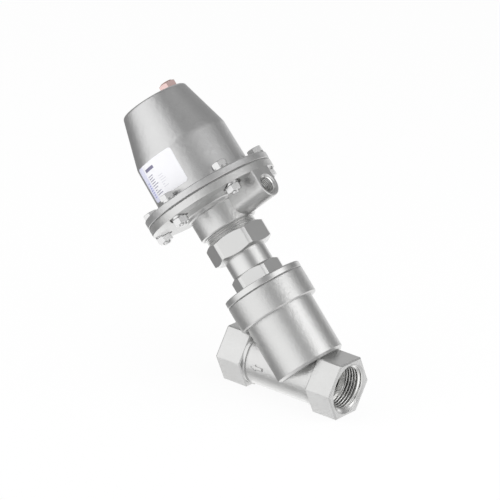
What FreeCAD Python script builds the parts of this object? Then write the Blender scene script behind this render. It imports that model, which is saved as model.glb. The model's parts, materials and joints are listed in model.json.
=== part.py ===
import FreeCAD
import Part
import math
import os

from FreeCAD import Placement, Rotation, Vector

# Pneumatic angle-seat piston valve, G1 female ends, spring-return actuator. Millimetres.
# The origin is the middle of the inlet mouth: +X points out of the inlet, +Z up.
# Heights called stations run along the actuator axis from where it meets the pipe axis.

# Pipe body
body_length = 98.6
inlet_to_axis = 25.95
actuator_tilt = 45.0
port_hex_across = 41.0
port_hex_length = 21.0
port_thread_radius = 16.62
port_thread_depth = 17.0
port_mouth_radius = 18.3
port_mouth_depth = 1.2
barrel_radius = 19.3
barrel_step_radius = 20.2
barrel_step_length = 2.0
flow_radius = 13.0

# Neck of the body and its seat
neck_bottom = 9.7
neck_length = 43.54
neck_radius = 25.67
neck_wall = 4.17
collar_length = 19.44
collar_radius = 29.62
seat_station = 17.0
seat_bore_radius = 12.5
seat_lip_width = 1.5
seat_lip_height = 1.0
seat_wall = 3.0

# Bonnet
bonnet_gasket_thickness = 0.5
bonnet_ring_thickness = 4.6
bonnet_spigot_radius = 24.0
bonnet_spigot_length = 16.0
bonnet_hex_across = 34.0
bonnet_hex_height = 10.8
tube_radius = 15.69
bare_tube_length = 12.9
tube_above_nut = 8.4

# Union nut, retaining ring and tube seal
union_hex_across = 41.0
union_height = 16.1
union_lip = 3.4
retaining_ring_thickness = 2.0
retaining_ring_radius = 18.4
retaining_groove_depth = 1.3
tube_seal_section = 2.1
tube_seal_below_nut_top = 3.4

# Actuator base
actuator_clocking = 2.8
base_thread_radius = 19.0
base_thread_pitch = 1.5
bare_thread_length = 4.9
base_neck_radius = 21.66
base_neck_length = 15.5
base_shoulder_radius = 23.2
base_shoulder_height = 3.7
flange_land = 13.4
flange_skirt_step = 4.1
flange_skirt_height = 2.3
base_rim_height = 5.7
register_height = 2.0

# Air port in the base
air_port_above_neck_end = 9.0
air_port_reach = 49.3
air_boss_half_width = 9.5
air_thread_radius = 6.58
air_thread_depth = 12.0
air_mouth_radius = 7.6
air_way_radius = 3.0
air_way_from_axis = 26.0

# Spring housing
flange_gasket_thickness = 0.6
housing_flange_thickness = 5.2
housing_wall_height = 34.3
housing_foot_wall = 4.2
housing_knee_wall = 3.64
housing_cone_height = 37.6
housing_top_radius = 24.9
housing_roof = 6.0
housing_wall = 3.4
cylinder_radius = 31.5
spring_ring_inner = 13.6
spring_ring_outer = 15.3
spring_ring_height = 2.0

# Flange screws
screw_count = 6
screw_edge_distance = 6.1
screw_radius = 3.0
screw_head_across = 10.0
screw_head_height = 4.0
screw_nut_height = 5.0
screw_tip = 1.5
screw_washer_radius = 5.5
screw_washer_thickness = 1.6
nut_pocket_radius = 7.0
nut_pocket_depth = 2.1

# Breather and label on the housing
vent_from_axis = 13.9
vent_angle = 37.0
vent_thread_radius = 4.86
vent_thread_length = 5.4
vent_hex_across = 12.0
vent_hex_height = 5.9
vent_dome_radius = 4.6
vent_dome_height = 0.9
label_width = 36.5
label_height = 27.0
label_corner = 2.0
label_thickness = 0.2
label_angle = -95.2
label_above_flange = 6.0

# Piston
piston_above_register = 0.7
piston_height = 13.6
piston_floor = 7.6
piston_cup_radius = 28.4
piston_hub_radius = 9.0
piston_hub_height = 2.0
piston_lower_land = 2.0
piston_seal_groove = 3.6
piston_middle_land = 1.4
piston_seal_section = 3.5
piston_guide_depth = 1.5
piston_guide_height = 5.0

# Springs
outer_spring_radius = 18.0
outer_spring_wire = 4.0
outer_spring_turns = 6.0
inner_spring_radius = 11.5
inner_spring_wire = 2.8
inner_spring_turns = 9.0

# Stem, valve disc and packing
stem_radius = 5.0
stem_thread_radius = 4.0
stem_tip_below_seat = 10.0
stem_top_beyond_hub = 10.0
stem_nut_across = 13.0
stem_nut_height = 6.5
piston_washer_radius = 8.0
piston_washer_thickness = 1.5
disc_radius = 15.0
disc_thickness = 4.0
disc_holder_radius = 16.5
disc_holder_height = 6.0
disc_holder_skirt = 2.4
disc_washer_radius = 10.0
disc_washer_thickness = 2.0
packing_radius = 9.0
packing_floor_above_spigot = 13.0
packing_spring_wire = 1.6
packing_spring_length = 12.0
packing_spring_turns = 4.0
packing_washer_thickness = 2.0
packing_ring_count = 6
packing_ring_pitch = 2.6
packing_ring_rise = 1.1
gland_below_tube_top = 2.0
wiper_radius = 7.4
wiper_height = 3.0
bush_radius = 8.0
bush_length = 14.0
stem_seal_radius = 9.4
stem_seal_height = 5.0
base_web = 2.0

# Bevels, rounds and small steps
hexagon_bevel_angle = 30.0
hexagon_face_share = 0.475
port_edge_bevel = 0.9
port_corner_cut = 0.3
nut_corner_cut = 0.8
port_root_step = 1.0
neck_bottom_bevel = 1.8
collar_bevel = 0.9
collar_edge_round = 0.4
chamber_round = 1.5
spigot_relief = 1.0
seat_bore_bevel = 0.5
bonnet_spigot_bevel = 1.0
bonnet_ring_round = 0.9
bonnet_skirt_wall = 3.5
bonnet_recess_height = 6.0
bonnet_recess_round = 1.0
tube_end_round = 0.6
union_bore_bevel = 0.2
base_spigot_bevel = 1.0
bare_thread_run_in = 0.3
thread_groove_share = 0.6
base_neck_bevel = 0.9
base_shoulder_bevel = 0.8
base_shoulder_round = 1.2
flange_edge_round = 0.6
register_round = 0.6
air_boss_round = 0.8
housing_foot_round = 1.5
housing_knee_round = 12.0
housing_top_round = 2.6
housing_inner_round = 2.0
housing_rim_round = 0.5
housing_flange_round = 0.8
cylinder_run_out = 2.0
gasket_inset = 0.5
retaining_ring_split = 3.0
wiper_lip_width = 1.2
wiper_lip_depth = 0.8
gland_round = 0.5
lip_foot_height = 2.0
lip_foot_width = 1.4
lip_outer_width = 1.4
lip_inner_width = 0.9
lip_valley = 0.5
screw_end_bevel = 0.5
stem_end_bevel = 0.8
piston_edge_round = 0.5
piston_floor_round = 1.5
seal_inner_round = 0.8
seal_outer_round = 1.2
disc_holder_rim = 2.4
disc_holder_hub = 3.0
disc_holder_edge_round = 1.0
disc_holder_hub_round = 2.0
dome_round_share = 0.7
vent_wall = 2.0
vent_stub_length = 2.0

# Clearances
running_gap = 0.04
sliding_gap = 0.05
seated_gap = 0.02
closing_gap = 0.05
screw_hole_gap = 0.25
end_gap = 0.1
stem_way_gap = 0.5
piston_gap = 0.1
seal_groove_gap = 0.2

# Radii worked out from the sizes above
housing_foot_radius = cylinder_radius + housing_foot_wall
housing_knee_radius = cylinder_radius + housing_knee_wall
flange_radius = housing_foot_radius + flange_land
flange_skirt_radius = flange_radius - flange_skirt_step
screw_circle_radius = flange_radius - screw_edge_distance

# Stations worked out from the lengths above
collar_bottom = neck_bottom + neck_length
collar_top = collar_bottom + collar_length
bonnet_seat = collar_top + bonnet_gasket_thickness
bonnet_ring_top = bonnet_seat + bonnet_ring_thickness
bonnet_hex_top = bonnet_ring_top + bonnet_hex_height
bonnet_spigot_bottom = bonnet_seat - bonnet_spigot_length
union_bottom = bonnet_hex_top + bare_tube_length
union_top = union_bottom + union_height
tube_top = union_top + tube_above_nut
ring_bottom = union_bottom + union_lip + end_gap
ring_top = ring_bottom + retaining_ring_thickness
base_spigot_bottom = ring_top + end_gap
tube_seal_station = union_top - tube_seal_below_nut_top
base_neck_end = union_top + bare_thread_length
shoulder_bottom = base_neck_end + base_neck_length
flange_underside = shoulder_bottom + base_shoulder_height
rim_bottom = flange_underside + flange_skirt_height
base_top = rim_bottom + base_rim_height
register_top = base_top + register_height
housing_bottom = base_top + flange_gasket_thickness
housing_flange_top = housing_bottom + housing_flange_thickness
housing_knee = housing_flange_top + housing_wall_height
housing_top = housing_knee + housing_cone_height
roof_underside = housing_top - housing_roof
spring_ring_bottom = roof_underside - spring_ring_height
air_port_station = base_neck_end + air_port_above_neck_end
piston_bottom = register_top + piston_above_register
piston_seat = piston_bottom + piston_floor
piston_hub_top = piston_seat + piston_hub_height
disc_bottom = seat_station + closing_gap
disc_top = disc_bottom + disc_thickness
disc_holder_top = disc_top + disc_holder_height
disc_washer_bottom = disc_bottom - disc_washer_thickness
packing_floor = bonnet_spigot_bottom + packing_floor_above_spigot
packing_washer_bottom = packing_floor + packing_spring_length
packing_bottom = packing_washer_bottom + packing_washer_thickness
gland_bottom = packing_bottom + packing_ring_count * packing_ring_pitch
gland_top = tube_top - gland_below_tube_top
base_bore_top = tube_top + end_gap * 3
bush_bottom = base_bore_top + base_web
bush_top = bush_bottom + bush_length
neck_floor = seat_station - seat_lip_height
past = 1.0
beyond = housing_top


# Closed wire in the XZ plane through (radius, height) corners.
# A third number on a corner is the radius that rounds it.
def outline(corners):
    points = [Vector(corner[0], 0, corner[1]) for corner in corners]
    starts = []
    middles = []
    ends = []
    for index, corner in enumerate(corners):
        here = points[index]
        if len(corner) == 2:
            starts.append(here)
            middles.append(None)
            ends.append(here)
            continue
        to_last = (points[index - 1] - here).normalize()
        to_next = (points[(index + 1) % len(points)] - here).normalize()
        half_angle = to_last.getAngle(to_next) / 2
        reach = corner[2] / math.tan(half_angle)
        inward = (to_last + to_next).normalize()
        centre = here + inward * (corner[2] / math.sin(half_angle))
        starts.append(here + to_last * reach)
        middles.append(centre - inward * corner[2])
        ends.append(here + to_next * reach)
    edges = []
    for index in range(len(points)):
        if middles[index] is not None:
            edges.append(Part.Arc(starts[index], middles[index], ends[index]).toShape())
        following = starts[(index + 1) % len(points)]
        if ends[index].distanceToPoint(following) > 1e-6:
            edges.append(Part.LineSegment(ends[index], following).toShape())
    return Part.Wire(edges)


# Solid turned about the local Z axis from its half section.
def turned(*corners):
    solid = Part.Face(outline(corners)).revolve(Vector(0, 0, 0), Vector(0, 0, 1), 360)
    if solid.Volume < 0:
        solid.reverse()
    return solid


def ring(inner, outer, bottom, top):
    return turned((inner, bottom), (outer, bottom), (outer, top), (inner, top))


def rod(radius, bottom, top):
    return Part.makeCylinder(radius, top - bottom, Vector(0, 0, bottom))


# Rod along local +X, at a height on the Z axis.
def side_rod(radius, near, far, height):
    return Part.makeCylinder(radius, far - near, Vector(near, 0, height), Vector(1, 0, 0))


def hexagon(across, bottom, top):
    corner_radius = across / math.sqrt(3)
    corners = []
    for step in range(7):
        angle = math.radians(90 + 60 * step)
        corners.append(Vector(corner_radius * math.cos(angle), corner_radius * math.sin(angle), bottom))
    return Part.Face(Part.makePolygon(corners)).extrude(Vector(0, 0, top - bottom))


# Hexagon whose ends are turned off at 30 degrees where asked, its corners cut back by corner_cut.
def bevelled_hexagon(across, bottom, top, bevel_bottom=True, bevel_top=True, corner_cut=0.0):
    face_radius = hexagon_face_share * across
    outer_radius = across / math.sqrt(3) + (past if corner_cut == 0 else -corner_cut)
    drop = (outer_radius - face_radius) * math.tan(math.radians(hexagon_bevel_angle))
    low = (face_radius, bottom) if bevel_bottom else (outer_radius, bottom)
    high = (face_radius, top) if bevel_top else (outer_radius, top)
    side = [(0, bottom), low]
    if bevel_bottom:
        side.append((outer_radius, bottom + drop))
    if bevel_top:
        side.append((outer_radius, top - drop))
    side.extend([high, (0, top)])
    return hexagon(across, bottom, top).common(turned(*side))


# Coil of round wire with ground ends, its wire's ends flat at bottom and top.
def coil(mean_radius, wire, turns, bottom, top):
    start = bottom + wire / 4
    height = top - bottom - wire / 2
    pitch = height / turns
    path = Part.makeHelix(pitch, height, mean_radius)
    path.translate(Vector(0, 0, start))
    slope = math.atan2(pitch, 2 * math.pi * mean_radius)
    along = Vector(0, math.cos(slope), math.sin(slope))
    section = Part.Wire(Part.makeCircle(wire / 2, Vector(mean_radius, 0, start), along))
    wound = Part.Wire(path).makePipeShell([section], True, True)
    slab = Part.makeCylinder(mean_radius + wire, top - bottom, Vector(0, 0, bottom))
    return single(wound.common(slab))


def single(shape):
    return shape.Solids[0]


def move(shape, placement):
    moved = shape.copy()
    moved.Placement = placement.multiply(moved.Placement)
    return moved


# The three places that local shapes go to: along the pipe from the inlet mouth,
# on the actuator axis, and on the actuator axis turned with the actuator.
pipe_place = Placement(Vector(0, 0, 0), Rotation(Vector(0, 1, 0), -90))
axis_place = Placement(Vector(-inlet_to_axis, 0, 0), Rotation(Vector(0, 1, 0), -actuator_tilt))
clocked = Placement(Vector(0, 0, 0), Rotation(Vector(0, 0, 1), actuator_clocking))
actuator_place = axis_place.multiply(clocked)


# Copies of a local shape round the screw circle.
def round_screw_circle(shape):
    copies = []
    for index in range(screw_count):
        angle = 360.0 / screw_count * (index + 0.5)
        turn = Placement(Vector(0, 0, 0), Rotation(Vector(0, 0, 1), angle))
        copies.append(move(shape, turn.multiply(Placement(Vector(screw_circle_radius, 0, 0), Rotation()))))
    return copies


# Valve body: hexagon ends, barrel, slanted neck with its collar, seat and flow ways.
def port_cutter():
    return turned(
        (0, -past),
        (port_mouth_radius, -past),
        (port_mouth_radius, 0),
        (port_thread_radius, port_mouth_depth),
        (port_thread_radius, port_thread_depth),
        (0, port_thread_depth),
    )


# Hexagon end of the pipe body, with small bevels round its ends and blunted corners.
def port_hexagon(start):
    end = start + port_hex_length
    block = hexagon(port_hex_across, start, end)
    end_edges = [edge for edge in block.Edges if edge.BoundBox.ZLength < port_edge_bevel]
    blunt = rod(port_hex_across / math.sqrt(3) - port_corner_cut, start - past, end + past)
    return block.makeChamfer(port_edge_bevel, end_edges).common(blunt)


def pipe_outside():
    outlet_hex_start = body_length - port_hex_length
    inlet_hex = port_hexagon(0)
    outlet_hex = port_hexagon(outlet_hex_start)
    barrel = turned(
        (0, port_hex_length - port_root_step),
        (barrel_step_radius, port_hex_length - port_root_step),
        (barrel_step_radius, port_hex_length + barrel_step_length),
        (barrel_radius, port_hex_length + barrel_step_length),
        (barrel_radius, outlet_hex_start - barrel_step_length),
        (barrel_step_radius, outlet_hex_start - barrel_step_length),
        (barrel_step_radius, outlet_hex_start + port_root_step),
        (0, outlet_hex_start + port_root_step),
    )
    return move(barrel.fuse([inlet_hex, outlet_hex]), pipe_place)


def neck_outside():
    neck = turned(
        (0, neck_bottom),
        (neck_radius - neck_bottom_bevel, neck_bottom),
        (neck_radius, neck_bottom + neck_bottom_bevel),
        (neck_radius, collar_bottom),
        (collar_radius - collar_bevel, collar_bottom),
        (collar_radius, collar_bottom + collar_bevel),
        (collar_radius, collar_top, collar_edge_round),
        (0, collar_top),
    )
    return move(neck, axis_place)


def flow_ways():
    bore_end = body_length - port_thread_depth + past
    pipe_bore = move(rod(flow_radius, port_thread_depth - past, bore_end), pipe_place)
    above_floor = move(rod(beyond, neck_floor, neck_floor + beyond), axis_place)
    below_wall = move(rod(beyond, neck_floor - seat_wall - beyond, neck_floor - seat_wall), axis_place)
    return [pipe_bore.common(above_floor), pipe_bore.common(below_wall)]


def valve_body():
    outside = pipe_outside().fuse(neck_outside()).removeSplitter()
    lip_radius = seat_bore_radius + seat_lip_width
    chamber_radius = neck_radius - neck_wall
    chamber = turned(
        (0, seat_station),
        (lip_radius, seat_station),
        (lip_radius, neck_floor),
        (chamber_radius, neck_floor, chamber_round),
        (chamber_radius, bonnet_spigot_bottom - spigot_relief),
        (bonnet_spigot_radius, bonnet_spigot_bottom - spigot_relief),
        (bonnet_spigot_radius, collar_top + past),
        (0, collar_top + past),
    )
    seat_bore = turned(
        (0, 0),
        (seat_bore_radius, 0),
        (seat_bore_radius, seat_station - seat_bore_bevel),
        (seat_bore_radius + 2 * seat_bore_bevel, seat_station + seat_bore_bevel),
        (0, seat_station + seat_bore_bevel),
    )
    far_port = Placement(Vector(0, 0, body_length), Rotation(Vector(1, 0, 0), 180))
    cutters = [
        move(port_cutter(), pipe_place),
        move(port_cutter(), pipe_place.multiply(far_port)),
        move(chamber, axis_place),
        move(seat_bore, axis_place),
    ]
    return single(outside.cut(cutters + flow_ways()))


# Bonnet with its screwed spigot, hexagon and long tube, and what seals it.
def bonnet_gasket():
    inner = bonnet_spigot_radius + sliding_gap
    return move(ring(inner, collar_radius - gasket_inset, collar_top, bonnet_seat), axis_place)


def bonnet():
    spigot_radius = bonnet_spigot_radius - sliding_gap
    body = turned(
        (0, bonnet_spigot_bottom),
        (spigot_radius - bonnet_spigot_bevel, bonnet_spigot_bottom),
        (spigot_radius, bonnet_spigot_bottom + bonnet_spigot_bevel),
        (spigot_radius, bonnet_seat),
        (collar_radius, bonnet_seat, collar_edge_round),
        (collar_radius, bonnet_ring_top, bonnet_ring_round),
        (tube_radius, bonnet_ring_top),
        (tube_radius, tube_top, tube_end_round),
        (0, tube_top),
    )
    wrench_hex = bevelled_hexagon(
        bonnet_hex_across, bonnet_ring_top, bonnet_hex_top, bevel_bottom=False, corner_cut=nut_corner_cut
    )
    stem_way = rod(stem_radius + sliding_gap, bonnet_spigot_bottom - past, packing_floor + past)
    packing_chamber = rod(packing_radius, packing_floor, tube_top + past)
    skirt_radius = bonnet_spigot_radius - bonnet_skirt_wall
    recess_top = bonnet_spigot_bottom + bonnet_recess_height
    underside = turned(
        (packing_radius, bonnet_spigot_bottom - past),
        (skirt_radius, bonnet_spigot_bottom - past),
        (skirt_radius, recess_top, bonnet_recess_round),
        (packing_radius, recess_top, bonnet_recess_round),
    )
    ring_groove = ring(
        tube_radius - retaining_groove_depth,
        tube_radius + past,
        ring_bottom - seated_gap,
        ring_top + seated_gap,
    )
    seal_half = tube_seal_section / 2 + seal_groove_gap
    seal_groove = ring(
        tube_radius - tube_seal_section,
        tube_radius + past,
        tube_seal_station - seal_half,
        tube_seal_station + seal_half,
    )
    shape = body.fuse(wrench_hex).cut([stem_way, packing_chamber, underside, ring_groove, seal_groove])
    return move(single(shape), axis_place)


def packing_spring():
    mean_radius = (stem_radius + packing_radius) / 2
    top = packing_washer_bottom - seated_gap
    return move(
        coil(mean_radius, packing_spring_wire, packing_spring_turns, packing_floor + seated_gap, top),
        axis_place,
    )


def packing_washer():
    return move(
        ring(
            stem_radius + sliding_gap,
            packing_radius - seated_gap,
            packing_washer_bottom,
            packing_bottom - seated_gap,
        ),
        axis_place,
    )


# Nested chevron rings round the stem.
def packing_rings():
    inner = stem_radius + running_gap
    outer = packing_radius - seated_gap
    middle = (inner + outer) / 2
    rings = []
    for index in range(packing_ring_count - 1):
        bottom = packing_bottom + index * packing_ring_pitch
        top = bottom + packing_ring_pitch - seated_gap
        rings.append(
            turned(
                (inner, bottom),
                (middle, bottom + packing_ring_rise),
                (outer, bottom),
                (outer, top),
                (middle, top + packing_ring_rise),
                (inner, top),
            )
        )
    top_ring_bottom = packing_bottom + (packing_ring_count - 1) * packing_ring_pitch
    rings.append(
        turned(
            (inner, top_ring_bottom),
            (middle, top_ring_bottom + packing_ring_rise),
            (outer, top_ring_bottom),
            (outer, gland_bottom - seated_gap),
            (inner, gland_bottom - seated_gap),
        )
    )
    return move(Part.makeCompound(rings), axis_place)


def packing_gland():
    bore = stem_radius + sliding_gap
    return move(
        turned(
            (bore, gland_bottom),
            (packing_radius - seated_gap, gland_bottom),
            (packing_radius - seated_gap, gland_top, gland_round),
            (wiper_radius, gland_top),
            (wiper_radius, gland_top - wiper_height),
            (bore, gland_top - wiper_height),
        ),
        axis_place,
    )


def stem_wiper():
    inner = stem_radius + running_gap
    outer = wiper_radius - seated_gap
    bottom = gland_top - wiper_height
    return move(
        turned(
            (inner, bottom),
            (outer, bottom),
            (outer, gland_top),
            (inner + wiper_lip_width, gland_top),
            (inner, gland_top + wiper_lip_depth),
        ),
        axis_place,
    )


# Split ring in the tube's groove: it carries the union nut.
def retaining_ring():
    inner = tube_radius - retaining_groove_depth + seated_gap
    whole = ring(inner, retaining_ring_radius, ring_bottom, ring_top)
    corner = Vector(0, -retaining_ring_split / 2, ring_bottom - past)
    split = Part.makeBox(beyond, retaining_ring_split, retaining_ring_thickness + 2 * past, corner)
    return move(single(whole.cut(split)), axis_place)


def tube_seal():
    section_radius = tube_seal_section / 2 - seated_gap
    ring_radius = tube_radius - tube_seal_section / 2
    return move(Part.makeTorus(ring_radius, section_radius, Vector(0, 0, tube_seal_station)), axis_place)


def union_nut():
    body = bevelled_hexagon(union_hex_across, union_bottom, union_top, corner_cut=nut_corner_cut)
    thread_bore = base_thread_radius + sliding_gap
    bore = turned(
        (0, union_bottom - past),
        (tube_radius + sliding_gap, union_bottom - past),
        (tube_radius + sliding_gap, union_bottom + union_lip),
        (thread_bore, union_bottom + union_lip),
        (thread_bore, union_top - union_bore_bevel),
        (thread_bore + union_bore_bevel, union_top),
        (thread_bore + union_bore_bevel, union_top + past),
        (0, union_top + past),
    )
    return move(single(body.cut(bore)), axis_place)


# Actuator base: threaded spigot, neck, flange with nut pockets and the air-port boss.
def bare_thread_corners():
    groove_depth = thread_groove_share * base_thread_pitch
    first_crest = union_top + bare_thread_run_in
    count = int(bare_thread_length / base_thread_pitch)
    corners = []
    for index in range(count):
        crest = first_crest + index * base_thread_pitch
        corners.append((base_thread_radius, crest))
        corners.append((base_thread_radius - groove_depth, crest + base_thread_pitch / 2))
    corners.append((base_thread_radius, first_crest + count * base_thread_pitch))
    return corners


def base_outside():
    register_radius = cylinder_radius - sliding_gap
    return turned(
        (0, base_spigot_bottom),
        (base_thread_radius - base_spigot_bevel, base_spigot_bottom),
        (base_thread_radius, base_spigot_bottom + base_spigot_bevel),
        *bare_thread_corners(),
        (base_thread_radius - base_neck_bevel, base_neck_end),
        (base_neck_radius - base_neck_bevel, base_neck_end),
        (base_neck_radius, base_neck_end + base_neck_bevel),
        (base_neck_radius, shoulder_bottom),
        (base_shoulder_radius, shoulder_bottom + base_shoulder_bevel),
        (base_shoulder_radius, flange_underside, base_shoulder_round),
        (flange_skirt_radius, flange_underside),
        (flange_radius, rim_bottom),
        (flange_radius, base_top, flange_edge_round),
        (register_radius, base_top),
        (register_radius, register_top, register_round),
        (0, register_top),
    )


# Block that carries the air port: flat cheeks up to the flange, round below.
def air_boss():
    low = air_port_station
    half = air_boss_half_width
    edges = [
        Part.LineSegment(Vector(0, -half, rim_bottom), Vector(0, -half, low)).toShape(),
        Part.Arc(Vector(0, -half, low), Vector(0, 0, low - half), Vector(0, half, low)).toShape(),
        Part.LineSegment(Vector(0, half, low), Vector(0, half, rim_bottom)).toShape(),
        Part.LineSegment(Vector(0, half, rim_bottom), Vector(0, -half, rim_bottom)).toShape(),
    ]
    block = Part.Face(Part.Wire(edges)).extrude(Vector(air_port_reach, 0, 0))
    face_edges = [edge for edge in block.Edges if edge.BoundBox.XMin > air_port_reach - past]
    under_flange = [edge for edge in face_edges if edge.BoundBox.ZMin < rim_bottom - past]
    return block.makeFillet(air_boss_round, under_flange)


def air_ways():
    mouth_bevel = air_mouth_radius - air_thread_radius
    way_end = air_port_reach - air_thread_depth
    mouth = Part.makeCone(
        air_thread_radius,
        air_mouth_radius + past,
        mouth_bevel + past,
        Vector(air_port_reach - mouth_bevel, 0, air_port_station),
        Vector(1, 0, 0),
    )
    thread = side_rod(air_thread_radius, way_end, air_port_reach + past, air_port_station)
    inward = side_rod(air_way_radius, air_way_from_axis, way_end + past, air_port_station)
    upward = Part.makeCylinder(
        air_way_radius,
        register_top + past - air_port_station,
        Vector(air_way_from_axis, 0, air_port_station),
    )
    return [mouth, thread, inward, upward]


def actuator_base():
    screw_hole = rod(screw_radius + screw_hole_gap, flange_underside - past, base_top + past)
    nut_pocket = rod(nut_pocket_radius, flange_underside - past, flange_underside + nut_pocket_depth)
    tube_bore = rod(tube_radius + sliding_gap, base_spigot_bottom - past, base_bore_top)
    stem_way = rod(stem_radius + stem_way_gap, base_bore_top - past, bush_bottom + past)
    bush_bore = rod(bush_radius, bush_bottom, bush_top + past)
    seal_bore = rod(stem_seal_radius, bush_top, register_top + past)
    cutters = [tube_bore, stem_way, bush_bore, seal_bore] + air_ways()
    cutters += round_screw_circle(screw_hole) + round_screw_circle(nut_pocket)
    shape = base_outside().fuse(air_boss()).cut(cutters)
    return move(single(shape), actuator_place)


def stem_bush():
    return move(
        ring(stem_radius + running_gap, bush_radius - seated_gap, bush_bottom + seated_gap, bush_top),
        actuator_place,
    )


def stem_seal():
    inner = stem_radius + running_gap
    outer = stem_seal_radius - seated_gap
    bottom = bush_top + seated_gap
    top = bottom + stem_seal_height
    return move(
        turned(
            (inner, bottom),
            (outer, bottom),
            (outer, top),
            (outer - lip_outer_width, top),
            (outer - lip_outer_width - lip_valley, bottom + lip_foot_height),
            (inner + lip_foot_width, bottom + lip_foot_height),
            (inner + lip_inner_width, top),
            (inner, top),
        ),
        actuator_place,
    )


def flange_gasket():
    plate = ring(cylinder_radius + gasket_inset, flange_radius - gasket_inset, base_top, housing_bottom)
    screw_hole = rod(screw_radius + screw_hole_gap, base_top - past, housing_bottom + past)
    return move(single(plate.cut(round_screw_circle(screw_hole))), actuator_place)


# Spring housing: flange, cylinder for the piston, and the cone over the springs.
def housing_radius(station):
    rise = (station - housing_flange_top) / housing_wall_height
    return housing_foot_radius + (housing_knee_radius - housing_foot_radius) * rise


def spring_housing():
    cone_slope = (housing_knee_radius - housing_top_radius) / housing_cone_height
    roof_radius = housing_top_radius + cone_slope * housing_roof - housing_wall
    room_at_foot = screw_circle_radius - screw_washer_radius - housing_foot_radius - seated_gap
    shape = turned(
        (cylinder_radius, housing_bottom),
        (flange_radius, housing_bottom, housing_rim_round),
        (flange_radius, housing_flange_top, housing_flange_round),
        (housing_foot_radius, housing_flange_top, min(housing_foot_round, room_at_foot)),
        (housing_knee_radius, housing_knee, housing_knee_round),
        (housing_top_radius, housing_top, housing_top_round),
        (0, housing_top),
        (0, roof_underside),
        (spring_ring_inner, roof_underside),
        (spring_ring_inner, spring_ring_bottom),
        (spring_ring_outer, spring_ring_bottom),
        (spring_ring_outer, roof_underside),
        (roof_radius, roof_underside, housing_inner_round),
        (cylinder_radius, housing_knee - cylinder_run_out),
    )
    screw_hole = rod(screw_radius + screw_hole_gap, housing_bottom - past, housing_flange_top + past)
    vent_hole = move(rod(vent_thread_radius, spring_ring_bottom - past, housing_top + past), vent_place())
    return move(single(shape.cut(round_screw_circle(screw_hole) + [vent_hole])), actuator_place)


def vent_place():
    turn = Placement(Vector(0, 0, 0), Rotation(Vector(0, 0, 1), vent_angle))
    return turn.multiply(Placement(Vector(vent_from_axis, 0, 0), Rotation()))


# Breather: hexagon screw-in body with a sintered dome pressed into it.
def vent_body():
    bottom = housing_top - vent_thread_length
    top = housing_top + vent_hex_height
    wrench_hex = bevelled_hexagon(vent_hex_across, housing_top, top, bevel_bottom=False)
    thread = rod(vent_thread_radius - sliding_gap, bottom, housing_top + past)
    way = rod(vent_thread_radius - vent_wall, bottom - past, top + past)
    return move(move(single(wrench_hex.fuse(thread).cut(way)), vent_place()), actuator_place)


def vent_dome():
    seat = housing_top + vent_hex_height
    stub_radius = vent_thread_radius - vent_wall - seated_gap
    shape = turned(
        (0, seat - vent_stub_length),
        (stub_radius, seat - vent_stub_length),
        (stub_radius, seat + seated_gap),
        (vent_dome_radius, seat + seated_gap),
        (vent_dome_radius, seat + vent_dome_height, dome_round_share * vent_dome_height),
        (0, seat + vent_dome_height),
    )
    return move(move(shape, vent_place()), actuator_place)


# Rating label wrapped on the housing's wall, with rounded corners.
def rating_label():
    bottom = housing_flange_top + label_above_flange
    top = bottom + label_height
    low_radius = housing_radius(bottom) + seated_gap
    high_radius = housing_radius(top) + seated_gap
    band = turned(
        (low_radius, bottom),
        (low_radius + label_thickness, bottom),
        (high_radius + label_thickness, top),
        (high_radius, top),
    )
    half_width = label_width / 2
    card = Part.makeBox(beyond, label_width, label_height, Vector(0, -half_width, bottom))
    corner_edges = [edge for edge in card.Edges if edge.BoundBox.XLength > beyond / 2]
    card = card.makeFillet(label_corner, corner_edges)
    turn = Placement(Vector(0, 0, 0), Rotation(Vector(0, 0, 1), label_angle))
    return move(single(band.common(move(card, turn))), actuator_place)


# Hexagon-head screws with nuts and washers through both flanges.
nut_seat = flange_underside + nut_pocket_depth
nut_top = nut_seat - screw_washer_thickness
head_bottom = housing_flange_top + screw_washer_thickness


def flange_screws():
    head_top = head_bottom + screw_head_height
    tip = nut_top - screw_nut_height - screw_tip
    head = bevelled_hexagon(screw_head_across, head_bottom, head_top, bevel_bottom=False)
    shank = turned(
        (0, tip),
        (screw_radius - screw_end_bevel, tip),
        (screw_radius, tip + screw_end_bevel),
        (screw_radius, head_bottom + past),
        (0, head_bottom + past),
    )
    return move(Part.makeCompound(round_screw_circle(single(head.fuse(shank)))), actuator_place)


def flange_washers():
    hole = screw_radius + screw_hole_gap
    upper = ring(hole, screw_washer_radius, housing_flange_top, head_bottom)
    lower = ring(hole, screw_washer_radius, nut_top, nut_seat)
    return move(Part.makeCompound(round_screw_circle(upper) + round_screw_circle(lower)), actuator_place)


def flange_nuts():
    body = bevelled_hexagon(screw_head_across, nut_top - screw_nut_height, nut_top)
    hole = rod(screw_radius + seated_gap, nut_top - screw_nut_height - past, nut_top + past)
    return move(Part.makeCompound(round_screw_circle(single(body.cut(hole)))), actuator_place)


# Piston with its seal and guide ring.
piston_radius = cylinder_radius - piston_gap
seal_groove_bottom = piston_bottom + piston_lower_land
seal_groove_top = seal_groove_bottom + piston_seal_groove
guide_groove_bottom = seal_groove_top + piston_middle_land
guide_groove_top = guide_groove_bottom + piston_guide_height


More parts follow.
